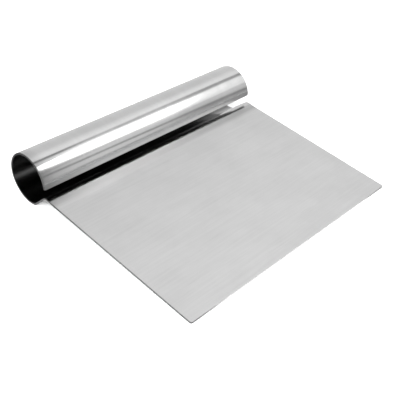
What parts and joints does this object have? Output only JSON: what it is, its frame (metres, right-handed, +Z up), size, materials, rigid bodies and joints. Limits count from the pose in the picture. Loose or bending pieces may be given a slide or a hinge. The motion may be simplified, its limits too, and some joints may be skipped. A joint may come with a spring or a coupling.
{
  "type": "bench scraper",
  "caption": "Flat steel blade with an open handle rolled from the same sheet, for cutting and lifting dough and scraping a work surface clean.",
  "frame": {"origin": "middle of the base: the scraper lies on a table on the lower corner of its working edge and the bottom of its handle", "axes": "+X along the handle and the working edge, +Y from the working edge towards the handle, +Z up from the table"},
  "size_m": [0.15, 0.1272, 0.028],
  "materials": {
    "stainless_steel": "satin blade, polished handle, plain sheared edges"
  },
  "bodies": {
    "root": {"scraper_sheet": "stainless_steel"}
  },
  "joints": []
}
